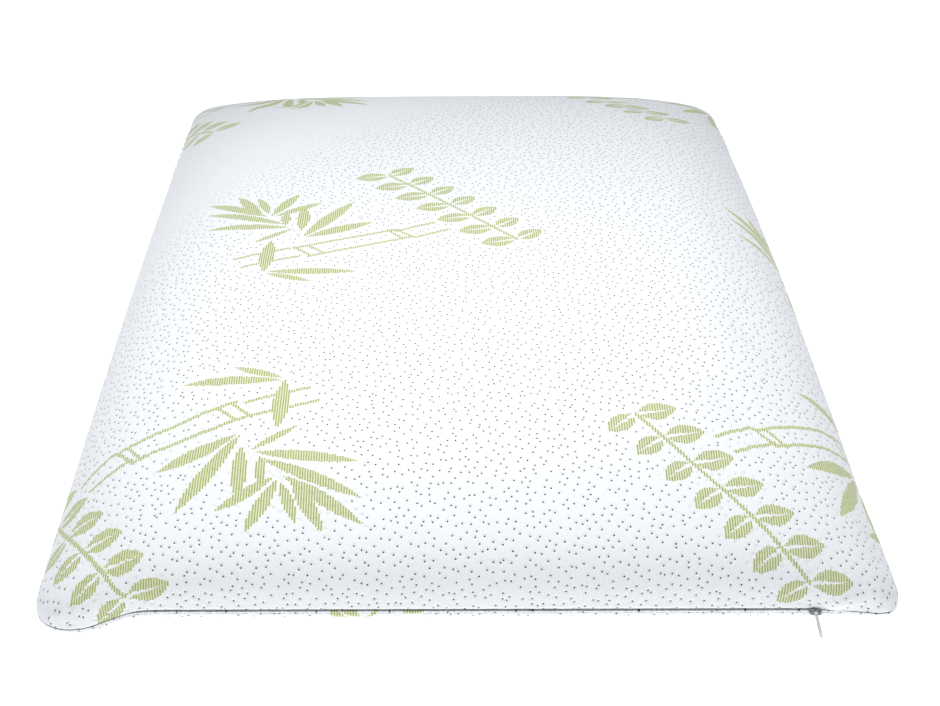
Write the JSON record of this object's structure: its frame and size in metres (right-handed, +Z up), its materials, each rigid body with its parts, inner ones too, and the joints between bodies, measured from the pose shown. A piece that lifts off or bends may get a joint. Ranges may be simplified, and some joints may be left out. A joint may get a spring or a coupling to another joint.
{
  "type": "bed pillow",
  "caption": "Flat-crowned memory-foam bed pillow in a removable jacquard knit cover with a zip along one short edge.",
  "frame": {"origin": "middle of the underside, on the surface that the pillow lies on", "axes": "+Z up through the crown, +Y along the length away from the zipped end, +X across the width"},
  "size_m": [0.5, 0.7057, 0.103],
  "materials": {
    "cover_knit": "matte double-layer jacquard knit, white with small dimples and green sprigs",
    "liner_knit": "thin matte tricot",
    "memory_foam": "matte open-cell polyurethane foam",
    "sewing_thread": "spun polyester thread",
    "zipper_tape": "woven tape",
    "zipper_coil": "nylon monofilament",
    "slider_enamel": "white enamel on zinc",
    "pull_enamel": "white enamel on zinc"
  },
  "bodies": {
    "pillow": {"foam_core": "memory_foam", "liner_top": "liner_knit", "liner_bottom": "liner_knit", "cover_top_panel": "cover_knit", "cover_bottom_panel": "cover_knit", "cover_seam_thread_left": "sewing_thread", "cover_seam_thread_right": "sewing_thread", "cover_seam_thread_back": "sewing_thread", "liner_seam_thread_left": "sewing_thread", "liner_seam_thread_right": "sewing_thread", "liner_seam_thread_back": "sewing_thread", "tape_stitching_upper": "sewing_thread", "tape_stitching_lower": "sewing_thread", "zipper_tape_upper": "zipper_tape", "zipper_tape_lower": "zipper_tape", "zipper_coil_upper": "zipper_coil", "zipper_coil_lower": "zipper_coil", "zipper_top_stop": "zipper_coil", "zipper_bottom_stop": "zipper_coil"},
    "slider": {"zipper_slider": "slider_enamel"},
    "pull": {"zipper_pull": "pull_enamel"}
  },
  "joints": [
    {"name": "slider_slide", "type": "slide", "parent": "pillow", "child": "slider", "axis": [-1, 0, 0], "range_m": [0, 0.386]},
    {"name": "pull_hinge", "type": "hinge", "parent": "slider", "child": "pull", "pos_m": [0.201, -0.3537, 0.027], "axis": [-1, 0, 0], "range_deg": [0, 150]}
  ]
}
